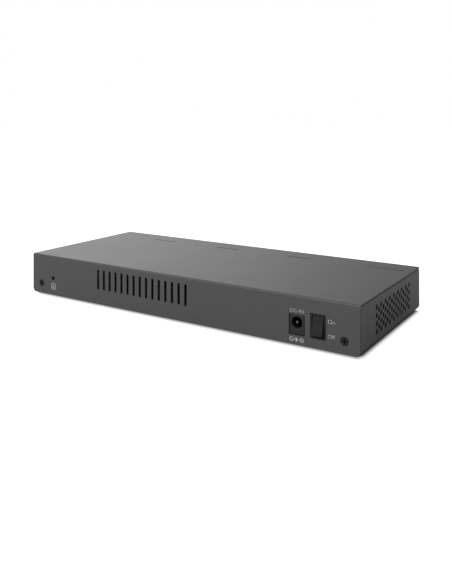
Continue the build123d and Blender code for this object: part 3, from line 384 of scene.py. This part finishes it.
# one finish for each material slot of the nodes; seam sets how much painted shade darkens each
# one's seams, corners, recesses and slot walls
finishes = {
    # seam and seamReach paint shade into the vent slots' walls, the folds near the floor and the
    # seam under the lid
    "painted_steel": layeredFinish(
        "powderCoatedSteel", colour=(0.079, 0.079, 0.082), patch=(0.083, 0.083, 0.086),
        edge=(0.088, 0.088, 0.091), rough=0.42, shine=0.4, unevenness=0.01, patchScale=14.0,
        edgeRadius=0.3 * mm, grain=(1900.0, 0.03 * mm), seam=1.18, seamReach=2.0 * mm,
    ),
    "black_screws": layeredFinish(
        "blackZincScrew", colour=(0.034, 0.034, 0.036), edge=(0.09, 0.09, 0.09), metal=0.6,
        rough=0.4, shine=0.12, edgeAmount=0.9, grain=(1500.0, 0.02 * mm), seam=1.7,
        seamReach=1.2 * mm, seamDull=0.6,
    ),
    "zinc_steel": layeredFinish(
        "zincPlate", colour=(0.42, 0.43, 0.45), patch=(0.5, 0.5, 0.5), metal=1.0, rough=0.34,
        patchScale=400.0, lines=(alongX, 0.008 * mm), seam=0.97, seamReach=4.0 * mm,
    ),
    "rubber": layeredFinish(
        "footRubber", colour=(0.018, 0.018, 0.018), patch=(0.03, 0.03, 0.029), rough=0.82,
        shine=0.3, grain=(1400.0, 0.04 * mm), patchScale=300.0,
    ),
    "black_plastic": layeredFinish(
        "socketPlastic", colour=(0.018, 0.018, 0.019), edge=(0.034, 0.034, 0.035), rough=0.5,
        shine=0.4, grain=(3200.0, 0.015 * mm), seam=0.8,
    ),
    "switch_plastic": layeredFinish(
        "rockerPlastic", colour=(0.022, 0.022, 0.023), edge=(0.036, 0.036, 0.037), rough=0.55,
        shine=0.15, grain=(2600.0, 0.015 * mm), seam=0.8,
    ),
    "white_film": layeredFinish(
        "insulatingFilm", colour=(0.55, 0.55, 0.52), patch=(0.6, 0.6, 0.57), rough=0.45,
        grain=(500.0, 0.03 * mm), patchScale=90.0,
    ),
    "circuit_board": circuitBoardFinish(boardFinish),
    "nickel": layeredFinish(
        "nickelPlate", colour=(0.42, 0.41, 0.385), patch=(0.48, 0.47, 0.44), metal=1.0,
        rough=0.24, lines=(alongY, 0.005 * mm), patchScale=300.0,
    ),
    "gold_wire": layeredFinish(
        "goldPlate", colour=(0.86, 0.61, 0.23), patch=(0.9, 0.67, 0.3), metal=1.0, rough=0.34,
        lines=(alongY, 0.005 * mm), patchScale=700.0, seam=0.0,
    ),
    "shield_steel": layeredFinish(
        "tinPlate", colour=(0.55, 0.55, 0.56), patch=(0.62, 0.62, 0.62), metal=1.0, rough=0.3,
        lines=(alongX, 0.01 * mm), patchScale=150.0,
    ),
    "green_lamp": layeredFinish(
        "greenLampLens", colour=(0.16, 0.34, 0.18), rough=0.3, grain=(1200.0, 0.01 * mm), seam=0.3,
    ),
    "amber_lamp": layeredFinish(
        "amberLampLens", colour=(0.5, 0.3, 0.08), rough=0.3, grain=(1200.0, 0.01 * mm), seam=0.3,
    ),
    "clear_guide": clearAcrylic(acrylic),
    "led_white": layeredFinish(
        "lampPackage", colour=(0.7, 0.7, 0.64), rough=0.35, patchScale=900.0,
    ),
    "chip_black": layeredFinish(
        "chipMould", colour=(0.022, 0.022, 0.023), rough=0.6, grain=(3000.0, 0.02 * mm),
        patchScale=200.0,
    ),
    "pad_grey": layeredFinish(
        "thermalPad", colour=(0.3, 0.34, 0.42), rough=0.75, grain=(900.0, 0.05 * mm),
        patchScale=250.0,
    ),
    "sink_aluminium": layeredFinish(
        "blackAnodised", colour=(0.05, 0.05, 0.055), metal=0.6, rough=0.45,
        lines=(alongY, 0.02 * mm), edge=(0.3, 0.3, 0.3),
    ),
    "capacitor_can": layeredFinish(
        "shrinkSleeve", colour=(0.018, 0.022, 0.045), rough=0.25, grain=(400.0, 0.02 * mm),
    ),
    "ferrite": layeredFinish(
        "sinteredFerrite", colour=(0.06, 0.06, 0.063), patch=(0.09, 0.09, 0.092), rough=0.7,
        grain=(1800.0, 0.05 * mm), patchScale=500.0,
    ),
    "crystal_can": layeredFinish(
        "drawnCan", colour=(0.6, 0.6, 0.6), metal=1.0, rough=0.25, lines=(alongZ, 0.006 * mm),
    ),
    "ceramic": layeredFinish(
        "firedCeramic", colour=(0.09, 0.062, 0.04), patch=(0.12, 0.085, 0.055), rough=0.7,
        grain=(2500.0, 0.02 * mm), patchScale=800.0,
    ),
    "fuse_body": layeredFinish(
        "fuseCeramic", colour=(0.62, 0.6, 0.53), patch=(0.7, 0.68, 0.6), rough=0.5,
        patchScale=500.0,
    ),
}
# the jack's pin: nickel made nearly black, with strong painted shade deep in its hole, so that it
# reads as shaded inside the jack
contactPin = layeredFinish(
    "nickelPaintedShadeAndHighlight", colour=(0.045, 0.044, 0.042), metal=1.0, rough=0.22, edgeAmount=0.0, seam=0.9,
    seamReach=3.0 * mm, lines=(alongY, 0.003 * mm), patchScale=900.0,
)
# the painted highlight on the pin's nose: its colour, where it is full and where it ends
pinNoseHighlight = {
    "wearAndHighlight": (0.75, 0.74, 0.7),
    "bright": 0.15 * mm,  # painted highlight at full strength this near the pin's middle line
    "dark": 0.42 * mm,  # and not at all this far from it
}


def paintNoseHighlight(material, node, spec):
    # paints a highlight on the pin's nose: bright near the middle line, dark further out
    tree = material.node_tree
    low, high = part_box(node)
    middle = (low + high) / 2
    spot = addNode(tree, "TexCoord").outputs["Object"]
    flat = addNode(tree, "VectorMath", {"operation": "MULTIPLY"}, i0=spot, i1=(1, 0, 1)).outputs[0]
    out = addNode(
        tree, "VectorMath", {"operation": "DISTANCE"}, i0=flat, i1=(middle.x, 0, middle.z)
    ).outputs["Value"]
    wearAndHighlight = spreadValue(tree, out, spec["dark"], spec["bright"])
    colour = tree.nodes["Principled BSDF"].inputs["Base Color"]
    tree.links.new(mixColour(tree, wearAndHighlight, colour.links[0].from_socket, spec["wearAndHighlight"]), colour)


paintNoseHighlight(contactPin, "inlet_pin", pinNoseHighlight)
dullTin = layeredFinish(
    "dullTin", colour=(0.16, 0.158, 0.15), metal=1.0, rough=0.5, shine=0.2, patchScale=900.0,
)
ink = layeredFinish(
    "printedInk", colour=(0.66, 0.66, 0.66), patch=(0.74, 0.74, 0.74), rough=0.6, patchScale=900.0,
    grain=(4000.0, 0.004 * mm), edgeAmount=0.0, seam=0.0,
)

for part in frame["record"]["subparts"]:
    materials = frame["nodes"][part["node"]].data.materials
    materials.clear()
    materials.append(finishes[part["material_slot"]])
# the jack's pin takes the nickel with painted shade and a painted highlight
frame["nodes"]["inlet_pin"].data.materials[0] = contactPin
print("finishes on", len(frame["nodes"]), "nodes")


def addPiece(name, points, faces, material, body="chassis"):
    mesh = bpy.data.meshes.new(name)
    mesh.from_pydata(points.tolist(), [], faces)
    mesh.validate()
    return finishPiece(name, mesh, material, body)


def finishPiece(name, mesh, material, body="chassis"):
    mesh.materials.clear()
    mesh.materials.append(material)
    piece = bpy.data.objects.new(name, mesh)
    bpy.context.scene.collection.objects.link(piece)
    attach(piece, body)
    return piece


def joinShapes(shapes):
    # one array of points and one list of faces from several shapes
    points, faces, count = [], [], 0
    for shapePoints, shapeFaces in shapes:
        points.append(shapePoints)
        faces += (shapeFaces + count).tolist()
        count += len(shapePoints)
    return np.concatenate(points), faces


def moved(points, place):
    # the points after a 4 by 4 placing
    matrix = np.array(place)
    return points @ matrix[:3, :3].T + matrix[:3, 3]


# each print's place and size are in millimetres, heights from the underside of the case
printing = {
    "thickness": 0.02 * mm,
    "sink": 0.005 * mm,  # into the paint, so that no gap shows
    "stroke": 0.27 * mm,
    "thinner": -0.017,  # of the letters' height, taken off each side of a stroke
    "dcIn": ("DC-IN", -84.5, 18.3, 7.6, 1.8),  # words, X and height of the middle, size
    "on": ("On", -104.4, 15.45, 4.0, 2.1),
    "off": ("Off", -104.4, 7.85, 4.0, 1.95),
    "portNumber": (21.8, 1.9),  # height of the middle and of the figures
    "earth": (100.1, 5.8, 4.6),  # X and height of the middle, width
    "earthStem": (0.34, 0.02),  # its ends above the middle, in widths
    "earthBars": 3,
    "earthBar": (0.26, 0.085, 0.13),  # half the first, what each next loses, step down, in widths
    "polarity": (-84.3, 2.85, 3.03, 2.3),  # X and height of the middle, spacing, width
    "polarityThin": 0.6,  # of the stroke, for all but the outer rings
    "polarityArc": (40, 280),  # start and sweep of the open ring, in degrees
    "polarityDot": 0.25,  # radius, in widths
    "polarityArm": 0.17,  # half a minus or plus, in widths
}


def placeOnRear(x, z):
    # turns a flat drawing so that it reads from behind the case; x and z in millimetres
    return Matrix(
        ((-1, 0, 0, x * mm), (0, 0, 1, rearFace), (0, 1, 0, underside + z * mm), (0, 0, 0, 1))
    )


def placeOnFront(x, z):
    # turns a flat drawing so that it reads from in front of the case
    return Matrix(
        ((1, 0, 0, x * mm), (0, 0, -1, frontFace), (0, 1, 0, underside + z * mm), (0, 0, 0, 1))
    )


def printWords(name, words, place, width, height, spec):
    # letters made a mesh, stretched to their size and set a little into the paint
    curve = bpy.data.curves.new(name, "FONT")
    curve.body = words
    curve.extrude = 0.5  # one unit thick, until it is scaled below
    curve.offset = spec["thinner"]
    holder = bpy.data.objects.new(name, curve)
    bpy.context.scene.collection.objects.link(holder)
    bpy.context.view_layer.update()
    finished = holder.evaluated_get(bpy.context.evaluated_depsgraph_get())
    mesh = bpy.data.meshes.new_from_object(finished)
    bpy.data.objects.remove(holder)
    points = np.empty(3 * len(mesh.vertices))
    mesh.vertices.foreach_get("co", points)
    points = points.reshape(-1, 3)
    low, high = points.min(0), points.max(0)
    size = high - low
    scaleUp = height / size[1]
    scaleAcross = width / size[0] if width else scaleUp
    points = (points - (low + high) / 2) * (scaleAcross, scaleUp, spec["thickness"])
    points[:, 2] += spec["thickness"] / 2 - spec["sink"]
    mesh.vertices.foreach_set("co", moved(points, place).ravel())
    mesh.update()
    return finishPiece(name, mesh, ink)


def drawStroke(path, width, spec, closed=False):
    # a flat rectangular section carried along a path in the plane, half a width to each side
    path = np.asarray(path, float)
    ahead = np.roll(path, -1, 0) - np.roll(path, 1, 0) if closed else np.gradient(path, axis=0)
    ahead /= np.linalg.norm(ahead, axis=1)[:, None]
    side = np.stack([-ahead[:, 1], ahead[:, 0]], 1) * width / 2
    low, high = -spec["sink"], spec["thickness"] - spec["sink"]
    level = np.ones((len(path), 1))
    section = [(path + side, low), (path + side, high), (path - side, high), (path - side, low)]
    points = np.stack([np.hstack([flat, level * z]) for flat, z in section], 1).reshape(-1, 3)
    here = np.arange(len(path) if closed else len(path) - 1)[:, None]
    corner = np.arange(4)[None, :]
    after, turn = (here + 1) % len(path), (corner + 1) % 4
    faces = np.stack(
        [4 * here + corner, 4 * here + turn, 4 * after + turn, 4 * after + corner], -1
    ).reshape(-1, 4)
    if not closed:
        last = 4 * (len(path) - 1)
        faces = np.vstack([faces, [[3, 2, 1, 0], [last, last + 1, last + 2, last + 3]]])
    return points, faces


def arcPath(centre, radius, start=0.0, sweep=360.0, count=48):
    # points at equal angles round a centre, in degrees
    angles = np.radians(start + sweep * np.arange(count) / (count if sweep == 360 else count - 1))
    return np.stack([centre[0] + radius * np.cos(angles), centre[1] + radius * np.sin(angles)], 1)


def drawRing(centre, width, spec):
    # a stroke round a circle, width across its outer edge
    return drawStroke(arcPath(centre, (width - spec["stroke"]) / 2), spec["stroke"], spec, True)


def drawDisc(centre, radius, spec):
    # a rim at two levels, each closed by wedges to its middle, with a wall between them
    rim = arcPath(centre, radius)
    count = len(rim)
    low, high = -spec["sink"], spec["thickness"] - spec["sink"]
    levels = [np.hstack([rim, np.full((count, 1), z)]) for z in (low, high)]
    middles = np.array([[*centre, low], [*centre, high]])
    points = np.concatenate([*levels, middles])
    here = np.arange(count)
    after = (here + 1) % count
    under = np.stack([after, here, np.full(count, 2 * count)], 1)
    over = np.stack([count + here, count + after, np.full(count, 2 * count + 1)], 1)
    wall = np.stack([here, after, count + after, count + here], 1)
    wallHalves = np.concatenate([wall[:, [0, 1, 2]], wall[:, [0, 2, 3]]])
    return points, np.concatenate([under, over, wallHalves])


def printEarthSign(spec):
    # a ring round a stem that ends on three bars, each shorter than the one above
    x, z, width = spec["earth"]
    size = width * mm
    stroke = spec["stroke"]
    top, foot = spec["earthStem"]
    first, loss, drop = spec["earthBar"]
    shapes = [
        drawRing((0, 0), size, spec),
        drawStroke([(0, top * size), (0, foot * size)], stroke, spec),
    ]
    for n in range(spec["earthBars"]):
        half, level = (first - loss * n) * size, -drop * n * size
        shapes.append(drawStroke([(-half, level), (half, level)], stroke, spec))
    points, faces = joinShapes(shapes)
    return addPiece("earthSign", moved(points, placeOnRear(x, z)), faces, ink)


def printPolaritySign(spec):
    # minus in a ring, a dot in an open ring, and plus in a ring, joined by short lines
    x, z, spacing, width = spec["polarity"]
    step, size = spacing * mm, width * mm
    stroke = spec["polarityThin"] * spec["stroke"]
    rim = size / 2
    dot = spec["polarityDot"] * size
    sign = spec["polarityArm"] * size
    shapes = [
        drawRing((-step, 0), size, spec),
        drawRing((step, 0), size, spec),
        drawStroke(arcPath((0, 0), rim - stroke / 2, *spec["polarityArc"]), stroke, spec),
        drawStroke([(rim - step, 0), (-rim, 0)], stroke, spec),
        drawDisc((0, 0), dot, spec),
        drawStroke([(dot, 0), (step - rim, 0)], stroke, spec),
        drawStroke([(-step - sign, 0), (-step + sign, 0)], stroke, spec),
        drawStroke([(step - sign, 0), (step + sign, 0)], stroke, spec),
        drawStroke([(step, -sign), (step, -stroke / 2)], stroke, spec),
        drawStroke([(step, stroke / 2), (step, sign)], stroke, spec),
    ]
    points, faces = joinShapes(shapes)
    return addPiece("polaritySign", moved(points, placeOnRear(x, z)), faces, ink)


for key in ("dcIn", "on", "off"):
    words, x, z, width, height = printing[key]
    printWords(key + "Print", words, placeOnRear(x, z), width * mm, height * mm, printing)
printEarthSign(printing)
printPolaritySign(printing)
ports = [mount for mount in frame["record"]["mounts"] if mount["name"].startswith("port_")]
for port in ports:
    number = port["name"].split("_")[1]
    z, height = printing["portNumber"]
    place = placeOnFront(port["pos_m"][0] / mm, z)
    printWords("portNumber" + number, number, place, None, height * mm, printing)
print("panels printed")


# the metal of the small parts, and the tops and stripes of the capacitor cans
boardParts = {
    "leadWidth": 0.4 * mm,
    "leadThickness": 0.15 * mm,
    "leadRise": 0.45,  # of the body's height, where a lead comes out
    "leadPitch": 1.27 * mm,
    "leadPath": (-0.1 * mm, 0.4 * mm, 0.65 * mm, 1.2 * mm),  # start, two bends and tip, outwards
    "transformerLeads": 9,  # down each long side
    "memoryLeads": 4,
    "transistorLeads": 3,
    "transistors": (2, 6.0 * mm),  # count and width
    "cans": 3,
    "canTop": (4.1 * mm, 0.12 * mm),  # radius and height of the bare aluminium
    "canMesh": (40, 2.5),  # rings, and degrees between spokes
    "vent": (0.2 * mm, 0.11 * mm, 0.75),  # the scored cross: width, depth, share of the radius
    "stripeTurn": (205.0, 50.0, 16),  # start and sweep in degrees, points
    "stripeGaps": (3.2 * mm, 0.7 * mm),  # below and above
    "proud": 0.03 * mm,
    "ceramics": (4, 3),  # count along X and along Y
    "ceramicSize": (2.0 * mm, 1.24 * mm),
    "ceramicEnd": 0.42 * mm,
    "fuseEnd": 1.3 * mm,
}


def spread(low, high, size, count):
    # the middles of equal things that fill a row from low to high
    return np.linspace(low + size / 2, high - size / 2, count)


def placeUpright(way, spot):
    # stands a flat drawing on the board, its first axis along way
    up = Vector((0, 0, 1))
    side = way.cross(up)
    return Matrix([[way[n], up[n], side[n], spot[n]] for n in range(3)] + [[0, 0, 0, 1]])


def leadsAlong(low, high, direction, count, spec):
    # leads down one side of a body: out of its side, down, and flat on the board
    way = Vector((*direction, 0))
    side = way.cross((0, 0, 1))
    start, bend, foot, tip = spec["leadPath"]
    rise, rest = spec["leadRise"] * (high.z - low.z), spec["leadThickness"] / 2
    path = [(start, rise), (bend, rise), (foot, rest), (tip, rest)]
    section = {"sink": spec["leadWidth"] / 2, "thickness": spec["leadWidth"]}
    points, faces = drawStroke(path, spec["leadThickness"], section)
    edge = (low + high) / 2 + way * abs((high - low).dot(way)) / 2
    edge.z = boardTop
    shapes = []
    for n in range(count):
        spot = edge + side * (n - (count - 1) / 2) * spec["leadPitch"]
        shapes.append((moved(points, placeUpright(way, spot)), faces))
    return shapes


def addChipLeads(spec):
    # down both sides of each transformer and of the memory chip, and one side of the transistors
    shapes = []
    low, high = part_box("lan_transformers")
    half = (high.x - low.x - (ports[-1]["pos_m"][0] - ports[0]["pos_m"][0])) / 2
    for port in ports:
        x = port["pos_m"][0]
        body = Vector((x - half, low.y, low.z)), Vector((x + half, high.y, high.z))
        for way in ((1, 0), (-1, 0)):
            shapes += leadsAlong(*body, way, spec["transformerLeads"], spec)
    for way in ((1, 0), (-1, 0)):
        shapes += leadsAlong(*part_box("memory_chip"), way, spec["memoryLeads"], spec)
    low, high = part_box("power_transistors")
    count, width = spec["transistors"]
    for y in spread(low.y, high.y, width, count):
        body = Vector((low.x, y - width / 2, low.z)), Vector((high.x, y + width / 2, high.z))
        shapes += leadsAlong(*body, (-1, 0), spec["transistorLeads"], spec)
    points, faces = joinShapes(shapes)
    return addPiece("chipLeads", points, faces, finishes["nickel"])


def ventedTop(centre, spec):
    # a disc on rings and spokes whose height drops by a bell curve across the two lines of a
    # scored cross; the outermost ring repeats the rim lower down, for the wall
    radius, height = spec["canTop"]
    width, depth, share = spec["vent"]
    ringCount, step = spec["canMesh"]
    rings = np.append(np.linspace(0, radius, ringCount + 1)[1:], radius)
    angles = np.radians(np.arange(0, 360, step))
    out, turn = np.meshgrid(rings, angles, indexing="ij")
    x, y = out * np.cos(turn), out * np.sin(turn)
    groove = np.exp(-((np.minimum(abs(x), abs(y)) / width) ** 2)) * (out < share * radius)
    z = height - depth * groove
    z[-1] = -height
    grid = np.stack([x, y, z], -1).reshape(-1, 3)
    points = np.concatenate([grid, [[0, 0, height - depth], [0, 0, -height]]]) + centre
    count = len(angles)
    row, here = np.meshgrid(np.arange(len(rings) - 1), np.arange(count), indexing="ij")
    row, here = row.ravel() * count, here.ravel()
    after = (here + 1) % count
    first = np.stack([row + here, row + count + here, row + count + after], 1)
    second = np.stack([row + here, row + count + after, row + after], 1)
    here = np.arange(count)
    after = (here + 1) % count
    top, last = len(grid), len(grid) - count
    cap = np.stack([np.full(count, top), here, after], 1)
    base = np.stack([np.full(count, top + 1), last + after, last + here], 1)
    return points, np.concatenate([first, second, cap, base])


def addCanTops(spec):
    # on each can a bare top, and a stripe that follows part of its sleeve
    low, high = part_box("bulk_capacitors")
    size = high.y - low.y
    below, above = spec["stripeGaps"]
    tops, stripes = [], []
    section = {"sink": -(low.z + below), "thickness": high.z - low.z - below - above}
    for x in spread(low.x, high.x, size, spec["cans"]):
        centre = np.array([x, (low.y + high.y) / 2, high.z])
        tops.append(ventedTop(centre, spec))
        path = arcPath(centre, size / 2, *spec["stripeTurn"])
        stripes.append(drawStroke(path, 2 * spec["proud"], section))
    points, faces = joinShapes(tops)
    addPiece("canTops", points, faces, finishes["crystal_can"])
    points, faces = joinShapes(stripes)
    addPiece("sleeveStripes", points, faces, ink)


def endCaps(low, high, length, spec):
    # a metal cap over each end of a body along X
    proud = spec["proud"]
    section = {"sink": -low[2], "thickness": high[2] - low[2] + proud}
    middle, width = (low[1] + high[1]) / 2, high[1] - low[1] + 2 * proud
    spans = (low[0] - proud, low[0] + length), (high[0] - length, high[0] + proud)
    return [drawStroke([(x, middle), (end, middle)], width, section) for x, end in spans]


def addEndCaps(spec):
    # on each ceramic capacitor and on the fuse
    low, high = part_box("ceramic_capacitors")
    length, width = spec["ceramicSize"]
    columns, rows = spec["ceramics"]
    shapes = []
    for x in spread(low.x, high.x, length, columns):
        for y in spread(low.y, high.y, width, rows):
            first = (x - length / 2, y - width / 2, low.z)
            last = (x + length / 2, y + width / 2, high.z)
            shapes += endCaps(first, last, spec["ceramicEnd"], spec)
    points, faces = joinShapes(shapes)
    addPiece("ceramicEnds", points, faces, dullTin)
    points, faces = joinShapes(endCaps(*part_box("input_fuse"), spec["fuseEnd"], spec))
    addPiece("fuseCaps", points, faces, finishes["nickel"])


addChipLeads(boardParts)
addCanTops(boardParts)
addEndCaps(boardParts)
print("board parts dressed")


studio = {
    "floorReach": 14.0,
    "floorRough": 0.9,
    "floorColour": (0.62, 0.62, 0.62),
    "floorShade": (0.03, 0.03, 0.03),  # under the case
    "underGlow": 2.4,  # lights the case's underside
    "floorGlow": 0.86,  # added where the camera looks at the floor near the object
    "floorFade": (0.35, 0.9),  # the floor turns plain white between these distances
    # where the floor under the case is dark and where it is light, from each face outwards
    "shadeSides": (-3.0 * mm, 1.2 * mm),
    "shadeFront": (-1.5 * mm, 3.5 * mm),
    "shadeRear": (-8.0 * mm, 2.5 * mm),
    "fill": 0.335,
    "wallGlow": 1.5,  # extra light from one side of the room
    "wallTurn": -20.0,  # degrees about Z, where the room is brightest
    "wallSpread": (0.6, 0.92),  # cosine of the angle where the wall's light starts and is full
    "frontGlow": 0.9,  # extra light on the ports, from low down in front
    "frontSpread": (-0.45, -0.9),  # the direction's Y where it starts and is full
    "frontRise": (0.13, 0.06),  # the direction's Z where it ends and is full
}
keyLamp = {"place": (0.5, 1.4, 1.1), "aim": (0, 0, 0), "size": (1.4, 1.0), "power": 19.5}


def litFloor(tree, spot, spec):
    # 0 under the case and 1 clear of it: one less the product of how far inside each face a place
    # is, so that the shade has round corners
    axes = addNode(tree, "SeparateXYZ", i0=spot).outputs
    low, high = frameBounds
    shut = 1.0
    for axis, way, face, shade in (
        ("X", 1, high[0], "shadeSides"), ("X", -1, -low[0], "shadeSides"),
        ("Y", 1, rearFace, "shadeRear"), ("Y", -1, -frontFace, "shadeFront"),
    ):
        out = multiplyAdd(tree, axes[axis], way, -face)
        inside = spreadValue(tree, out, *spec[shade], 1.0, 0.0)
        shut = addMath(tree, "MULTIPLY", shut, inside)
    clear = addMath(tree, "SUBTRACT", 1.0, shut)
    return addNode(tree, "MapRange", {"interpolation_type": "SMOOTHSTEP"}, i0=clear).outputs[0]


def floorFinish(spec):
    # matt, shaded under the case, lit for the camera near the object and plain white further off
    material, tree, shader = newFinish(
        "studioFloor", Roughness=spec["floorRough"], Emission_Color=(1, 1, 1)
    )
    spot = addNode(tree, "TexCoord").outputs["Object"]
    lit = litFloor(tree, spot, spec)
    colour = mixColour(tree, lit, spec["floorShade"], spec["floorColour"])
    tree.links.new(colour, shader.inputs["Base Color"])
    away = addNode(tree, "VectorMath", {"operation": "LENGTH"}, i0=spot).outputs["Value"]
    fade = spreadValue(tree, away, *spec["floorFade"])
    path = addNode(tree, "LightPath").outputs
    mirrored = addMath(tree, "MAXIMUM", path["Is Glossy Ray"], path["Is Transmission Ray"])
    seen = addMath(tree, "MAXIMUM", path["Is Camera Ray"], mirrored)
    under = spreadValue(tree, lit, 1.0, 0.0, 0.0, spec["underGlow"])
    bounced = addMath(tree, "MULTIPLY", path["Is Diffuse Ray"], under)
    near = addMath(tree, "MULTIPLY", path["Is Camera Ray"], spec["floorGlow"])
    glow = multiplyAdd(tree, near, lit, bounced)
    shown = addNode(tree, "Mix", i0=fade, i2=glow, i3=seen)
    tree.links.new(shown.outputs[0], shader.inputs["Emission Strength"])
    # clear from below, where it would hide the object
    behind = addNode(tree, "NewGeometry").outputs["Backfacing"]
    clearSide = addNode(tree, "BsdfTransparent").outputs[0]
    either = addNode(tree, "MixShader", i0=behind, i1=shader.outputs[0], i2=clearSide)
    tree.links.new(either.outputs[0], tree.nodes["Material Output"].inputs["Surface"])
    return material


def addFloor(spec):
    # one large triangle, so that no dividing edge runs under the object
    turns = np.radians([-150, -30, 90])
    corners = spec["floorReach"] * np.stack([np.cos(turns), np.sin(turns), 0 * turns], 1)
    mesh = bpy.data.meshes.new("floor")
    mesh.from_pydata(corners.tolist(), [], [(0, 1, 2)])
    mesh.materials.append(floorFinish(spec))
    floor = bpy.data.objects.new("floor", mesh)
    bpy.context.scene.collection.objects.link(floor)


def addWorld(spec):
    # plain white where the camera looks past the floor, else an even fill with one brighter side
    world = bpy.data.worlds.new("studioWorld")
    bpy.context.scene.world = world
    world.use_nodes = True
    tree = world.node_tree
    sky = tree.nodes["Background"]
    sky.inputs["Color"].default_value = (1, 1, 1, 1)
    turn = math.radians(spec["wallTurn"])
    wall = (math.cos(turn), math.sin(turn), 0)
    way = addNode(tree, "TexCoord").outputs["Generated"]
    facing = addNode(tree, "VectorMath", {"operation": "DOT_PRODUCT"}, i0=way, i1=wall)
    fill = spec["fill"]
    room = spreadValue(
        tree, facing.outputs["Value"], *spec["wallSpread"], fill, fill + spec["wallGlow"]
    )
    axes = addNode(tree, "SeparateXYZ", i0=way).outputs
    ahead = spreadValue(tree, axes["Y"], *spec["frontSpread"], 0.0, spec["frontGlow"])
    rise = spreadValue(tree, axes["Z"], *spec["frontRise"])
    lit = multiplyAdd(tree, ahead, rise, room)
    camera = addNode(tree, "LightPath").outputs["Is Camera Ray"]
    level = addNode(tree, "Mix", i0=camera, i2=lit, i3=1.0)
    tree.links.new(level.outputs[0], sky.inputs["Strength"])


def addLamp(name, spec):
    data = bpy.data.lights.new(name, "AREA")
    data.shape = "RECTANGLE"
    data.size, data.size_y = spec["size"]
    data.energy = spec["power"]
    lamp = bpy.data.objects.new(name, data)
    lamp.location = spec["place"]
    way = Vector(spec["aim"]) - Vector(spec["place"])
    lamp.rotation_euler = way.to_track_quat("-Z", "Y").to_euler()
    bpy.context.scene.collection.objects.link(lamp)


addFloor(studio)
addWorld(studio)
addLamp("keyLamp", keyLamp)
bpy.context.scene.view_settings.view_transform = "Standard"
print("studio ready")
